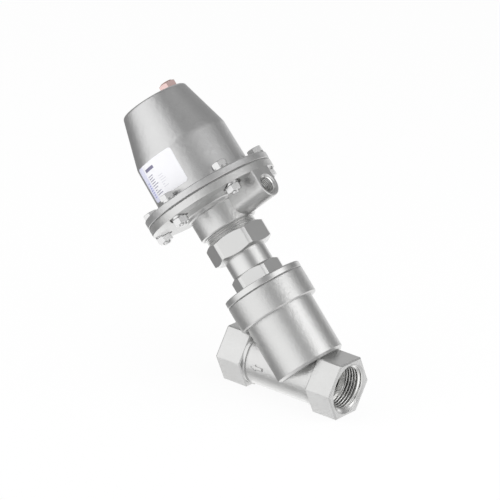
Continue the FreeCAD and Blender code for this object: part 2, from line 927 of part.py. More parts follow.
def piston():
    stem_hole = stem_thread_radius + seated_gap
    rim_top = piston_bottom + piston_height
    seal_floor = piston_radius - piston_seal_section
    guide_floor = piston_radius - piston_guide_depth
    return move(
        turned(
            (stem_hole, piston_bottom),
            (piston_radius, piston_bottom, piston_edge_round),
            (piston_radius, seal_groove_bottom),
            (seal_floor, seal_groove_bottom),
            (seal_floor, seal_groove_top),
            (piston_radius, seal_groove_top),
            (piston_radius, guide_groove_bottom),
            (guide_floor, guide_groove_bottom),
            (guide_floor, guide_groove_top),
            (piston_radius, guide_groove_top),
            (piston_radius, rim_top, piston_edge_round),
            (piston_cup_radius, rim_top, piston_edge_round),
            (piston_cup_radius, piston_seat, piston_floor_round),
            (piston_hub_radius, piston_seat),
            (piston_hub_radius, piston_hub_top, piston_edge_round),
            (stem_hole, piston_hub_top),
        ),
        actuator_place,
    )


def piston_seal():
    inner = piston_radius - piston_seal_section + seated_gap
    outer = cylinder_radius - running_gap
    bottom = seal_groove_bottom + seated_gap
    top = seal_groove_top - seated_gap
    return move(
        turned(
            (inner, bottom, seal_inner_round),
            (outer, bottom, seal_outer_round),
            (outer, top, seal_outer_round),
            (inner, top, seal_inner_round),
        ),
        actuator_place,
    )


def piston_guide_ring():
    inner = piston_radius - piston_guide_depth + seated_gap
    outer = cylinder_radius - running_gap
    return move(
        ring(inner, outer, guide_groove_bottom + seated_gap, guide_groove_top - seated_gap),
        actuator_place,
    )


def outer_spring():
    return move(
        coil(
            outer_spring_radius,
            outer_spring_wire,
            outer_spring_turns,
            piston_seat + seated_gap,
            roof_underside - seated_gap,
        ),
        actuator_place,
    )


def inner_spring():
    return move(
        coil(
            inner_spring_radius,
            inner_spring_wire,
            inner_spring_turns,
            piston_seat + seated_gap,
            roof_underside - seated_gap,
        ),
        actuator_place,
    )


# Stem from the valve disc up through the piston.
def stem():
    bottom = seat_station - stem_tip_below_seat
    top = piston_hub_top + stem_top_beyond_hub
    return move(
        turned(
            (0, bottom),
            (stem_thread_radius - stem_end_bevel, bottom),
            (stem_thread_radius, bottom + stem_end_bevel),
            (stem_thread_radius, disc_holder_top),
            (stem_radius, disc_holder_top),
            (stem_radius, piston_bottom),
            (stem_thread_radius, piston_bottom),
            (stem_thread_radius, top - stem_end_bevel),
            (stem_thread_radius - stem_end_bevel, top),
            (0, top),
        ),
        actuator_place,
    )


def stem_nut(bottom):
    top = bottom + stem_nut_height
    body = bevelled_hexagon(stem_nut_across, bottom, top)
    hole = rod(stem_thread_radius + seated_gap, bottom - past, top + past)
    return move(single(body.cut(hole)), actuator_place)


def piston_washer():
    hole = stem_thread_radius + seated_gap
    top = piston_hub_top + piston_washer_thickness
    return move(ring(hole, piston_washer_radius, piston_hub_top, top), actuator_place)


def piston_nut():
    return stem_nut(piston_hub_top + piston_washer_thickness)


# Valve disc: a soft ring held in a steel cup on the stem's end.
def disc_holder():
    hole = stem_thread_radius + seated_gap
    pocket_radius = disc_radius + seated_gap
    return move(
        turned(
            (hole, disc_top),
            (pocket_radius, disc_top),
            (pocket_radius, disc_top - disc_holder_skirt),
            (disc_holder_radius, disc_top - disc_holder_skirt),
            (disc_holder_radius, disc_top + disc_holder_rim, disc_holder_edge_round),
            (stem_radius + disc_holder_hub, disc_holder_top, disc_holder_hub_round),
            (hole, disc_holder_top),
        ),
        actuator_place,
    )


def seat_disc():
    return move(ring(stem_thread_radius + seated_gap, disc_radius, disc_bottom, disc_top), actuator_place)


def disc_washer():
    return move(
        turned(
            (stem_thread_radius + seated_gap, disc_washer_bottom),
            (disc_washer_radius - stem_end_bevel, disc_washer_bottom),
            (disc_washer_radius, disc_washer_bottom + stem_end_bevel),
            (disc_washer_radius, disc_bottom),
            (stem_thread_radius + seated_gap, disc_bottom),
        ),
        actuator_place,
    )


def disc_nut():
    return stem_nut(disc_washer_bottom - stem_nut_height)


nodes = {
    "valve_body": valve_body,
    "bonnet_gasket": bonnet_gasket,
    "bonnet": bonnet,
    "packing_spring": packing_spring,
    "packing_washer": packing_washer,
    "packing_rings": packing_rings,
    "packing_gland": packing_gland,
    "stem_wiper": stem_wiper,
    "retaining_ring": retaining_ring,
    "tube_seal": tube_seal,
    "union_nut": union_nut,
    "actuator_base": actuator_base,
    "stem_bush": stem_bush,
    "stem_seal": stem_seal,
    "flange_gasket": flange_gasket,
    "spring_housing": spring_housing,
    "vent_body": vent_body,
    "vent_dome": vent_dome,
    "rating_label": rating_label,
    "flange_screws": flange_screws,
    "flange_washers": flange_washers,
    "flange_nuts": flange_nuts,
    "outer_spring": outer_spring,
    "inner_spring": inner_spring,
    "piston": piston,
    "piston_seal": piston_seal,
    "piston_guide_ring": piston_guide_ring,
    "piston_washer": piston_washer,
    "piston_nut": piston_nut,
    "stem": stem,
    "disc_holder": disc_holder,
    "seat_disc": seat_disc,
    "disc_washer": disc_washer,
    "disc_nut": disc_nut,
}

os.makedirs("parts", exist_ok=True)
for name, make in nodes.items():
    shape = make()
    shape.exportStep("parts/" + name + ".step")
    state = "valid" if shape.isValid() else "INVALID"
    print(name, len(shape.Solids), "solids", round(shape.Volume, 1), "mm3", state)
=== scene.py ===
import json
import math

import bpy
import numpy as np
from mathutils import Matrix, Vector


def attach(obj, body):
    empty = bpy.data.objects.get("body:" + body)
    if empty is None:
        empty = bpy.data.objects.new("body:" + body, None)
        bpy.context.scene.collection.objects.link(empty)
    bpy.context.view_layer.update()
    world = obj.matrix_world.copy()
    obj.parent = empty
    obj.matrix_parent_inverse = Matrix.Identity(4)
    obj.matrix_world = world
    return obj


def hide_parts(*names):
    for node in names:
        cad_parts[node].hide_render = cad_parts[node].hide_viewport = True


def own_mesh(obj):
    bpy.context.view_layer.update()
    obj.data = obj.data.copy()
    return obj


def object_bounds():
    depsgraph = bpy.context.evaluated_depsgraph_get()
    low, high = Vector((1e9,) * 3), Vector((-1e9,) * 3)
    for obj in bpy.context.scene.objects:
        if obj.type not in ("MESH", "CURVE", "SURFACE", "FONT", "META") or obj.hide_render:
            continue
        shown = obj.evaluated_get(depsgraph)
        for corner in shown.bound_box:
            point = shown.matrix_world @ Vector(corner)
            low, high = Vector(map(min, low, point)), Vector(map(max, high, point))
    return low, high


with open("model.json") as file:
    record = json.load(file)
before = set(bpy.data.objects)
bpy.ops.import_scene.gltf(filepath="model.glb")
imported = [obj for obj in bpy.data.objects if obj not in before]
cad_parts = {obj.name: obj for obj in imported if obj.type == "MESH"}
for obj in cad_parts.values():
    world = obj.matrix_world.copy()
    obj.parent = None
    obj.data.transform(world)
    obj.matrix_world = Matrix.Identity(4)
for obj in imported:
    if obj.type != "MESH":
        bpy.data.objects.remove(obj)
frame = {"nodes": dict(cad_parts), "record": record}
cadLow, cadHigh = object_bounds()
print("frame loaded:", len(frame["nodes"]), "nodes")

mm = 0.001
nodeSlots = {part["node"]: part["material_slot"] for part in frame["record"]["subparts"]}

# The actuator's own directions: along its axis, across it in the plane of the pipe, and sideways.
axisStart = Vector((-25.95, 0.0, 0.0)) * mm
alongAxis = Vector((-1.0, 0.0, 1.0)).normalized()
acrossAxis = Vector((1.0, 0.0, 1.0)).normalized()
sideways = Vector((0.0, 1.0, 0.0))
pipeLength = 98.6  # mm, from the inlet's mouth to the outlet's


# Camera
cameraSetup = {
    "azimuth": 35.032,  # degrees round the object, 0 looks along +Y
    "elevation": 21.458,
    "roll": 4.901,
    "distance": 2.5,
    "target": Vector((-95.55, 3.19, 74.19)) * mm,
    "lens": 257.2,
    "sensor": 36.0,
    "clip": (0.05, 50.0),
}


# Unit vector towards azimuth and elevation in degrees: (sin a cos e, -cos a cos e, sin e).
def direction(azimuth, elevation):
    a, e = math.radians(azimuth), math.radians(elevation)
    return Vector((math.sin(a) * math.cos(e), -math.cos(a) * math.cos(e), math.sin(e)))


def makeCamera():
    data = bpy.data.cameras.new("camera")
    data.sensor_width = cameraSetup["sensor"]
    data.lens = cameraSetup["lens"]
    data.clip_start, data.clip_end = cameraSetup["clip"]
    camera = bpy.data.objects.new("camera", data)
    bpy.context.scene.collection.objects.link(camera)
    back = direction(cameraSetup["azimuth"], cameraSetup["elevation"])
    right = Vector((0, 0, 1)).cross(back).normalized()
    up = back.cross(right)
    roll = math.radians(cameraSetup["roll"])
    turnedRight = right * math.cos(roll) + up * math.sin(roll)
    turnedUp = up * math.cos(roll) - right * math.sin(roll)
    place = Matrix((turnedRight, turnedUp, back)).transposed().to_4x4()
    place.translation = cameraSetup["target"] + back * cameraSetup["distance"]
    camera.matrix_world = place
    bpy.context.scene.camera = camera


makeCamera()
print("camera made")


# Node helpers
noiseRange = (0.3, 0.7)  # most of a noise texture's values lie between these


def newTree(owner):
    owner.use_nodes = True
    owner.node_tree.nodes.clear()
    return owner.node_tree


def add(tree, kind, inputs=None, **settings):
    node = tree.nodes.new(kind)
    for name, value in settings.items():
        setattr(node, name, value)
    for key, value in (inputs or {}).items():
        if isinstance(value, bpy.types.NodeSocket):
            tree.links.new(value, node.inputs[key])
        else:
            node.inputs[key].default_value = value
    return node


def maths(tree, operation, a, b=0.0):
    return add(tree, "ShaderNodeMath", {0: a, 1: b}, operation=operation).outputs[0]


def vectors(tree, operation, a, b):
    outputs = add(tree, "ShaderNodeVectorMath", {0: a, 1: b}, operation=operation).outputs
    return outputs["Value" if operation == "DOT_PRODUCT" else "Vector"]


def dotWith(tree, vector, axis):
    return vectors(tree, "DOT_PRODUCT", vector, tuple(axis))


def objectPlace(tree):
    return add(tree, "ShaderNodeTexCoord").outputs["Object"]


def inMillimetres(tree):
    return vectors(tree, "MULTIPLY", objectPlace(tree), (1 / mm, 1 / mm, 1 / mm))


def noise(tree, place, scale, detail):
    inputs = {"Vector": place, "Scale": scale, "Detail": detail}
    return add(tree, "ShaderNodeTexNoise", inputs).outputs["Fac"]


def trueNormal(tree):
    return add(tree, "ShaderNodeNewGeometry").outputs["Normal"]


# 1 where the value lies between the two limits
def between(tree, value, low, high):
    above = maths(tree, "GREATER_THAN", value, low)
    return maths(tree, "MULTIPLY", above, maths(tree, "LESS_THAN", value, high))


def mapped(tree, value, fromLow, fromHigh, toLow, toHigh, smooth=False):
    kind = "SMOOTHSTEP" if smooth else "LINEAR"
    inputs = {"Value": value, "From Min": fromLow, "From Max": fromHigh, "To Min": toLow, "To Max": toHigh}
    return add(tree, "ShaderNodeMapRange", inputs, interpolation_type=kind, clamp=True).outputs["Result"]


# The Mix node's sockets: 6, 7 and output 2 are its colours, 4, 5 and output 1 its vectors.
def mixColours(tree, share, a, b):
    return add(tree, "ShaderNodeMix", {0: share, 6: a, 7: b}, data_type="RGBA").outputs[2]


def mixVectors(tree, share, a, b):
    return add(tree, "ShaderNodeMix", {0: share, 4: a, 5: b}, data_type="VECTOR").outputs[1]


def principled(tree, inputs):
    shader = add(tree, "ShaderNodeBsdfPrincipled", inputs)
    add(tree, "ShaderNodeOutputMaterial", {"Surface": shader.outputs[0]})


def newGroup(name, inputs, outputs):
    tree = bpy.data.node_groups.new(name, "ShaderNodeTree")
    for socketName, kind, value in inputs:
        socket = tree.interface.new_socket(socketName, in_out="INPUT", socket_type=kind)
        socket.default_value = value
    for socketName, kind in outputs:
        tree.interface.new_socket(socketName, in_out="OUTPUT", socket_type=kind)
    entry = tree.nodes.new("NodeGroupInput")
    leave = tree.nodes.new("NodeGroupOutput")
    return tree, entry.outputs, leave.inputs


# What all metals share, whatever their own values.
metalGrain = {
    "driftScale": 0.05,  # per mm
    "cloudScale": 0.45,
    # pale colour painted on the edges as a highlight
    "paintedHighlight": (0.93, 0.93, 0.92, 1.0),
    "edgeStart": 0.99,  # dot product of softened and true normal
    "edgeFull": 0.8,
    "edgePolish": 0.3,
    "edgeSamples": 6,
}


# Grain of a metal surface: tone drift, blast pits, casting ripple, softened edges and a painted edge
# highlight.
def makeMetalGroup():
    tree, given, result = newGroup(
        "metalSurface",
        [
            ("Colour", "NodeSocketColor", (0.6, 0.6, 0.6, 1.0)),
            ("Tone Drift", "NodeSocketFloat", 0.05),
            ("Roughness", "NodeSocketFloat", 0.35),
            ("Roughness Drift", "NodeSocketFloat", 0.06),
            ("Pit Size", "NodeSocketFloat", 0.3),
            ("Pit Height", "NodeSocketFloat", 0.01),
            ("Ripple Size", "NodeSocketFloat", 3.0),
            ("Ripple Height", "NodeSocketFloat", 0.0),
            ("Edge Radius", "NodeSocketFloat", 0.35),
            ("Edge Shine", "NodeSocketFloat", 0.15),
        ],
        [("Colour", "NodeSocketColor"), ("Roughness", "NodeSocketFloat"), ("Normal", "NodeSocketVector")],
    )
    place = inMillimetres(tree)
    drift = noise(tree, place, metalGrain["driftScale"], 3.0)
    cloud = noise(tree, place, metalGrain["cloudScale"], 4.0)
    pits = noise(tree, place, maths(tree, "DIVIDE", 1.0, given["Pit Size"]), 2.0)
    ripple = noise(tree, place, maths(tree, "DIVIDE", 1.0, given["Ripple Size"]), 1.0)

    # the colour times 1 + 2 * Tone Drift * (drift - 0.5 + half of cloud - 0.25)
    both = maths(tree, "ADD", maths(tree, "SUBTRACT", drift, 0.5), maths(tree, "MULTIPLY", cloud, 0.5))
    swing = maths(tree, "MULTIPLY", maths(tree, "SUBTRACT", both, 0.25), given["Tone Drift"])
    tone = maths(tree, "ADD", 1.0, maths(tree, "MULTIPLY", swing, 2.0))
    toned = add(tree, "ShaderNodeVectorMath", {0: given["Colour"], 3: tone}, operation="SCALE").outputs[0]

    # an edge is where the softened normal leaves the true one
    radius = maths(tree, "MULTIPLY", given["Edge Radius"], mm)
    bevel = add(tree, "ShaderNodeBevel", {"Radius": radius}, samples=metalGrain["edgeSamples"])
    soft = bevel.outputs["Normal"]
    along = vectors(tree, "DOT_PRODUCT", soft, trueNormal(tree))
    edge = mapped(tree, along, metalGrain["edgeStart"], metalGrain["edgeFull"], 0.0, 1.0)
    # a pale colour mixed in at the edges by Edge Shine: a painted highlight
    paintedHighlight = maths(tree, "MULTIPLY", edge, given["Edge Shine"])
    tree.links.new(mixColours(tree, paintedHighlight, toned, metalGrain["paintedHighlight"]), result["Colour"])

    # roughness: given + 2 * Roughness Drift * (cloud - 0.5), less where the edge highlight is painted
    rough = maths(tree, "MULTIPLY", maths(tree, "SUBTRACT", cloud, 0.5), given["Roughness Drift"])
    rough = maths(tree, "ADD", given["Roughness"], maths(tree, "MULTIPLY", rough, 2.0))
    polish = maths(tree, "MULTIPLY", paintedHighlight, metalGrain["edgePolish"])
    tree.links.new(maths(tree, "SUBTRACT", rough, polish), result["Roughness"])

    # height in mm: pits * Pit Height + ripple * Ripple Height
    pitHeight = maths(tree, "MULTIPLY", pits, given["Pit Height"])
    rippleHeight = maths(tree, "MULTIPLY", ripple, given["Ripple Height"])
    height = maths(tree, "MULTIPLY", maths(tree, "ADD", pitHeight, rippleHeight), mm)
    bump = add(tree, "ShaderNodeBump", {"Height": height, "Distance": 1.0, "Strength": 1.0, "Normal": soft})
    tree.links.new(bump.outputs["Normal"], result["Normal"])
    return tree


# Fine lines left by a turning tool: noise of the distance along an axis, (x . axis) * 1000 / pitch.
def makeTurningGroup():
    tree, given, result = newGroup(
        "turningLines",
        [
            ("Axis", "NodeSocketVector", tuple(alongAxis)),
            ("Line Pitch", "NodeSocketFloat", 0.25),
            ("Line Height", "NodeSocketFloat", 0.004),
            ("Normal", "NodeSocketVector", (0.0, 0.0, 0.0)),
        ],
        [("Normal", "NodeSocketVector")],
    )
    station = vectors(tree, "DOT_PRODUCT", objectPlace(tree), given["Axis"])
    count = maths(tree, "DIVIDE", maths(tree, "MULTIPLY", station, 1 / mm), given["Line Pitch"])
    inputs = {"W": count, "Scale": 1.0, "Detail": 2.0}
    lines = add(tree, "ShaderNodeTexNoise", inputs, noise_dimensions="1D").outputs["Fac"]
    height = maths(tree, "MULTIPLY", lines, maths(tree, "MULTIPLY", given["Line Height"], mm))
    inputs = {"Height": height, "Distance": 1.0, "Strength": 1.0, "Normal": given["Normal"]}
    bump = add(tree, "ShaderNodeBump", inputs)
    tree.links.new(bump.outputs["Normal"], result["Normal"])
    return tree


metalSurface = makeMetalGroup()
turningLines = makeTurningGroup()

# One dictionary per metal; "lines" is the pitch of its turning lines in mm.
metals = {
    "castSteel": {
        "Colour": (0.64, 0.64, 0.635, 1.0),
        "Tone Drift": 0.07,
        "Roughness": 0.35,
        "Roughness Drift": 0.05,
        "Pit Size": 0.75,
        "Pit Height": 0.13,
        "Ripple Size": 2.2,
        "Ripple Height": 0.11,
        "Edge Radius": 0.2,
        "Edge Shine": 0.35,
        "ports": True,
    },
    "blastedSteel": {
        "Colour": (0.63, 0.63, 0.63, 1.0),
        "Tone Drift": 0.07,
        "Roughness": 0.38,
        "Roughness Drift": 0.06,
        "Pit Size": 0.65,
        "Pit Height": 0.09,
        "Ripple Size": 3.2,
        "Ripple Height": 0.16,
        "Edge Radius": 0.25,
        "Edge Shine": 0.3,
    },
    "turnedSteel": {
        "Colour": (0.66, 0.66, 0.655, 1.0),
        "Tone Drift": 0.03,
        "Roughness": 0.30,
        "Roughness Drift": 0.04,
        "Pit Size": 0.2,
        "Pit Height": 0.003,
        "Edge Radius": 0.35,
        "Edge Shine": 0.35,
        "lines": 0.25,
    },
    "boredSteel": {
        "Colour": (0.85, 0.85, 0.84, 1.0),
        "Tone Drift": 0.02,
        "Roughness": 0.22,
        "Roughness Drift": 0.03,
        "Pit Height": 0.0,
        "Edge Radius": 0.0,
        "Edge Shine": 0.0,
    },
    "groundSteel": {
        "Colour": (0.72, 0.72, 0.72, 1.0),
        "Tone Drift": 0.02,
        "Roughness": 0.16,
        "Roughness Drift": 0.03,
        "Pit Height": 0.001,
        "Edge Radius": 0.2,
        "Edge Shine": 0.2,
        "lines": 0.12,
    },
    "screwSteel": {
        "Colour": (0.68, 0.68, 0.68, 1.0),
        "Tone Drift": 0.04,
        "Roughness": 0.24,
        "Roughness Drift": 0.05,
        "Pit Size": 0.4,
        "Pit Height": 0.004,
        "Edge Radius": 0.25,
        "Edge Shine": 0.4,
    },
    "springSteel": {
        "Colour": (0.42, 0.43, 0.44, 1.0),
        "Tone Drift": 0.08,
        "Roughness": 0.33,
        "Pit Size": 0.5,
        "Pit Height": 0.006,
        "Edge Radius": 0.1,
        "Edge Shine": 0.1,
    },
    "pistonAluminium": {
        "Colour": (0.78, 0.785, 0.79, 1.0),
        "Roughness": 0.28,
        "Pit Height": 0.002,
        "Edge Radius": 0.2,
        "Edge Shine": 0.2,
        "lines": 0.2,
    },
    "glandBrass": {
        "Colour": (0.78, 0.58, 0.28, 1.0),
        "Roughness": 0.28,
        "Pit Height": 0.002,
        "Edge Radius": 0.15,
        "Edge Shine": 0.1,
        "lines": 0.2,
    },
    "ventBrass": {
        "Colour": (0.74, 0.545, 0.52, 1.0),
        "Tone Drift": 0.05,
        "Roughness": 0.30,
        "Pit Size": 0.25,
        "Pit Height": 0.003,
        "Edge Radius": 0.2,
        "Edge Shine": 0.3,
    },
}


# The pipe ports are bored out: brighter and smoother there than the cast skin round them.
ports = {"radius": 17.0, "depth": 18.0, "colour": (0.85, 0.85, 0.84, 1.0), "roughness": 0.24}


# 1 where a point is near the pipe's axis and less than the depth from either mouth.
def portMask(tree):
    split = add(tree, "ShaderNodeSeparateXYZ", {0: objectPlace(tree)}).outputs
    fromMiddle = maths(tree, "ABSOLUTE", maths(tree, "SUBTRACT", split[0], -pipeLength / 2 * mm))
    squared = maths(tree, "ADD", maths(tree, "POWER", split[1], 2.0), maths(tree, "POWER", split[2], 2.0))
    near = maths(tree, "LESS_THAN", squared, (ports["radius"] * mm) ** 2)
    outer = maths(tree, "GREATER_THAN", fromMiddle, (pipeLength / 2 - ports["depth"]) * mm)
    return maths(tree, "MULTIPLY", near, outer)


def makeMetal(name, finish):
    material = bpy.data.materials.new(name)
    tree = newTree(material)
    surface = add(tree, "ShaderNodeGroup", node_tree=metalSurface)
    for key, value in finish.items():
        if key in surface.inputs:
            surface.inputs[key].default_value = value
    colour, rough, normal = (surface.outputs[key] for key in ("Colour", "Roughness", "Normal"))
    if "ports" in finish:
        bored = portMask(tree)
        colour = mixColours(tree, bored, colour, ports["colour"])
        drop = maths(tree, "SUBTRACT", rough, ports["roughness"])
        rough = maths(tree, "SUBTRACT", rough, maths(tree, "MULTIPLY", drop, bored))
        normal = mixVectors(tree, bored, normal, trueNormal(tree))
    if "lines" in finish:
        inputs = {"Line Pitch": finish["lines"], "Normal": normal}
        normal = add(tree, "ShaderNodeGroup", inputs, node_tree=turningLines).outputs["Normal"]
    principled(tree, {"Base Color": colour, "Roughness": rough, "Metallic": 1.0, "Normal": normal})
    return material


# Surface of a seal or gasket: a dull colour mottled with a darker one, and a fine grain.
def makeSoftGroup():
    tree, given, result = newGroup(
        "softSurface",
        [
            ("Colour", "NodeSocketColor", (0.5, 0.5, 0.5, 1.0)),
            ("Dark Colour", "NodeSocketColor", (0.4, 0.4, 0.4, 1.0)),
            ("Roughness", "NodeSocketFloat", 0.5),
            ("Roughness Swing", "NodeSocketFloat", 0.06),
            ("Mottle Scale", "NodeSocketFloat", 0.4),
            ("Grain Size", "NodeSocketFloat", 0.4),
            ("Grain Height", "NodeSocketFloat", 0.012),
        ],
        [("Colour", "NodeSocketColor"), ("Roughness", "NodeSocketFloat"), ("Normal", "NodeSocketVector")],
    )
    place = inMillimetres(tree)
    mottle = noise(tree, place, given["Mottle Scale"], 4.0)
    grain = noise(tree, place, maths(tree, "DIVIDE", 1.0, given["Grain Size"]), 2.0)
    share = mapped(tree, mottle, 0.35, 0.65, 0.0, 1.0)
    tree.links.new(mixColours(tree, share, given["Dark Colour"], given["Colour"]), result["Colour"])
    least = maths(tree, "SUBTRACT", given["Roughness"], given["Roughness Swing"])
    most = maths(tree, "ADD", given["Roughness"], given["Roughness Swing"])
    tree.links.new(mapped(tree, mottle, *noiseRange, least, most), result["Roughness"])
    height = maths(tree, "MULTIPLY", maths(tree, "MULTIPLY", grain, given["Grain Height"]), mm)
    bump = add(tree, "ShaderNodeBump", {"Height": height, "Distance": 1.0})
    tree.links.new(bump.outputs["Normal"], result["Normal"])
    return tree


softSurface = makeSoftGroup()
softParts = {
    "whiteFluoropolymer": {
        "Colour": (0.83, 0.83, 0.80, 1.0),
        "Dark Colour": (0.74, 0.74, 0.70, 1.0),
        "Roughness": 0.42,
        "Grain Size": 0.5,
    },
    "sealRubber": {
        "Colour": (0.035, 0.035, 0.037, 1.0),
        "Dark Colour": (0.02, 0.02, 0.02, 1.0),
        "Roughness": 0.55,
        "Grain Size": 0.35,
    },
    "gasketGraphite": {
        "Colour": (0.28, 0.28, 0.28, 1.0),
        "Dark Colour": (0.2, 0.2, 0.2, 1.0),
        "Roughness": 0.5,
        "Grain Size": 0.4,
    },
    "gasketFibre": {
        "Colour": (0.24, 0.24, 0.235, 1.0),
        "Dark Colour": (0.17, 0.17, 0.17, 1.0),
        "Roughness": 0.6,
        "Grain Size": 0.4,
    },
}


def makeSoft(name, finish):
    material = bpy.data.materials.new(name)
    tree = newTree(material)
    surface = add(tree, "ShaderNodeGroup", finish, node_tree=softSurface).outputs
    inputs = {"Base Color": surface["Colour"], "Roughness": surface["Roughness"]}
    principled(tree, inputs | {"Normal": surface["Normal"]})
    return material


# Sintered bronze: packed round grains, with painted shade in the pores between them.
bronze = {
    "colour": (0.62, 0.42, 0.38, 1.0),
    "poreShade": (0.28, 0.16, 0.14, 1.0),
    "poreStart": 0.45,
    "poreFull": 0.75,
    "cellEdge": 0.8,
    "grain": 0.42,  # mm
    "height": 0.10,
    "smoothest": 0.35,
    "roughest": 0.65,
    "metal": 0.85,
}


def makeBronze(name):
    material = bpy.data.materials.new(name)
    tree = newTree(material)
    inputs = {"Vector": inMillimetres(tree), "Scale": 1.0 / bronze["grain"]}
    cells = add(tree, "ShaderNodeTexVoronoi", inputs).outputs["Distance"]
    # darker colour in the pores between grains: painted shade
    poreShade = mapped(tree, cells, bronze["poreStart"], bronze["poreFull"], 0.0, 1.0, smooth=True)
    colour = mixColours(tree, poreShade, bronze["colour"], bronze["poreShade"])
    raised = mapped(tree, cells, 0.0, bronze["cellEdge"], 1.0, 0.0)
    height = maths(tree, "MULTIPLY", raised, bronze["height"] * mm)
    bump = add(tree, "ShaderNodeBump", {"Height": height, "Distance": 1.0})
    rough = mapped(tree, cells, 0.0, bronze["cellEdge"], bronze["smoothest"], bronze["roughest"])
    inputs = {"Base Color": colour, "Roughness": rough, "Metallic": bronze["metal"]}
    principled(tree, inputs | {"Normal": bump.outputs["Normal"]})
    return material


# Rating label: white film with a pale strip at its left end, a plain bar and columns of short dashes.
# Across and up are in mm from the film's lower left corner; the ends of a column's dashes vary in "end".
label = {
    "angle": -92.4,  # degrees round the axis from the pipe's plane
    "bottom": 161.48,  # mm along the axis
    "width": 36.5,
    "radius": 35.85,
    "film": (0.90, 0.90, 0.93, 1.0),
    "strip": (0.74, 0.75, 0.90, 1.0),
    "stripWidth": 6.5,
    "ink": (0.17, 0.16, 0.26, 1.0),
    "stripInk": (0.22, 0.24, 0.60, 1.0),
    "rowPitch": 1.75,
    "rowHeight": 0.62,
    "leftColumn": {"start": 7.6, "end": (10.0, 15.5), "low": 2.4, "high": 19.0, "weight": 0.8},
    "rightColumn": {"start": 18.2, "end": (20.5, 24.0), "low": 5.0, "high": 15.0, "weight": 0.25},
    "stripColumn": {"start": 1.6, "end": (5.0, 5.0), "low": 3.0, "high": 15.5, "weight": 0.8},
    "bar": {"start": 8.4, "end": 18.5, "low": 21.2, "high": 23.5, "weight": 0.95},
    "speckScale": 900.0,
    "smoothest": 0.28,
    "roughest": 0.36,
    "speckHeight": 0.004,
}


def makeLabel(name):
    material = bpy.data.materials.new(name)
    tree = newTree(material)
    place = objectPlace(tree)
    moved = vectors(tree, "SUBTRACT", place, tuple(axisStart))
    angle = math.radians(label["angle"])
    outward = acrossAxis * math.cos(angle) + sideways * math.sin(angle)
    rightward = sideways * math.cos(angle) - acrossAxis * math.sin(angle)
    turn = maths(tree, "ARCTAN2", dotWith(tree, moved, rightward), dotWith(tree, moved, outward))
    across = maths(tree, "ADD", maths(tree, "MULTIPLY", turn, label["radius"]), label["width"] / 2)
    along = maths(tree, "MULTIPLY", dotWith(tree, moved, alongAxis), 1 / mm)
    up = maths(tree, "SUBTRACT", along, label["bottom"])
    row = maths(tree, "FLOOR", maths(tree, "DIVIDE", up, label["rowPitch"]))
    inRow = maths(tree, "LESS_THAN", maths(tree, "MODULO", up, label["rowPitch"]), label["rowHeight"])
    random = add(tree, "ShaderNodeTexWhiteNoise", {"W": row}, noise_dimensions="1D").outputs["Value"]

    def dashes(column):
        end = mapped(tree, random, 0.0, 1.0, *column["end"])
        width = between(tree, across, column["start"], end)
        block = maths(tree, "MULTIPLY", width, between(tree, up, column["low"], column["high"]))
        return maths(tree, "MULTIPLY", maths(tree, "MULTIPLY", block, inRow), column["weight"])

    bar = label["bar"]
    barWidth = between(tree, across, bar["start"], bar["end"])
    barMask = maths(tree, "MULTIPLY", barWidth, between(tree, up, bar["low"], bar["high"]))
    ink = maths(tree, "ADD", dashes(label["leftColumn"]), dashes(label["rightColumn"]))
    ink = maths(tree, "ADD", ink, maths(tree, "MULTIPLY", barMask, bar["weight"]))
    inStrip = maths(tree, "LESS_THAN", across, label["stripWidth"])
    film = mixColours(tree, inStrip, label["film"], label["strip"])
    film = mixColours(tree, dashes(label["stripColumn"]), film, label["stripInk"])
    colour = mixColours(tree, ink, film, label["ink"])
    speck = noise(tree, place, label["speckScale"], 2.0)
    rough = mapped(tree, speck, *noiseRange, label["smoothest"], label["roughest"])
    height = maths(tree, "MULTIPLY", speck, label["speckHeight"] * mm)
    bump = add(tree, "ShaderNodeBump", {"Height": height, "Distance": 1.0})
    principled(tree, {"Base Color": colour, "Roughness": rough, "Normal": bump.outputs["Normal"]})
    return material


finishes = {name: makeMetal(name, finish) for name, finish in metals.items()}
finishes.update({name: makeSoft(name, finish) for name, finish in softParts.items()})
finishes["sinteredBronze"] = makeBronze("sinteredBronze")
finishes["labelFilm"] = makeLabel("labelFilm")

finishOfSlot = {
    "cast_stainless": "castSteel",
    "turned_stainless": "turnedSteel",
    "blasted_stainless": "blastedSteel",
    "polished_stainless": "groundSteel",
    "screw_stainless": "screwSteel",
    "spring_steel": "springSteel",
    "piston_aluminium": "pistonAluminium",
    "gland_brass": "glandBrass",
    "vent_brass": "ventBrass",
    "sintered_bronze": "sinteredBronze",
    "ptfe": "whiteFluoropolymer",
    "seal_rubber": "sealRubber",
    "graphite": "gasketGraphite",
    "label_film": "labelFilm",
}

finishOfNode = {"flange_gasket": "gasketFibre"}

for node, piece in frame["nodes"].items():
    piece.data.materials.clear()
    piece.data.materials.append(finishes[finishOfNode.get(node, finishOfSlot[nodeSlots[node]])])
print("finishes given to the CAD nodes")


# Surface pieces
# A tube through a grid of points (rows, columns, 3): each row is a closed ring, joined to the next row by
# quads, and one face each closes the first and last ring. "flip" turns all faces round.
def tubePiece(name, points, flip=False):
    rows, columns = points.shape[:2]
    index = np.arange(rows * columns).reshape(rows, columns)
    lower, upper = index[:-1], index[1:]
    quads = np.stack([lower, np.roll(lower, -1, 1), np.roll(upper, -1, 1), upper], -1)
    faces = quads.reshape(-1, 4).tolist()
    faces.append(index[0, ::-1].tolist())
    faces.append(index[-1].tolist())
    if flip:
        faces = [face[::-1] for face in faces]
    mesh = bpy.data.meshes.new(name)
    mesh.from_pydata(points.reshape(-1, 3).tolist(), [], faces)
    mesh.polygons.foreach_set("use_smooth", np.ones(len(mesh.polygons), bool))
    mesh.update()
    piece = bpy.data.objects.new(name, mesh)
    bpy.context.scene.collection.objects.link(piece)
    return piece


# The material of a new piece, and the body it moves with.
def dress(piece, finish, body):
    piece.data.materials.append(finishes[finish])
    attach(piece, body)


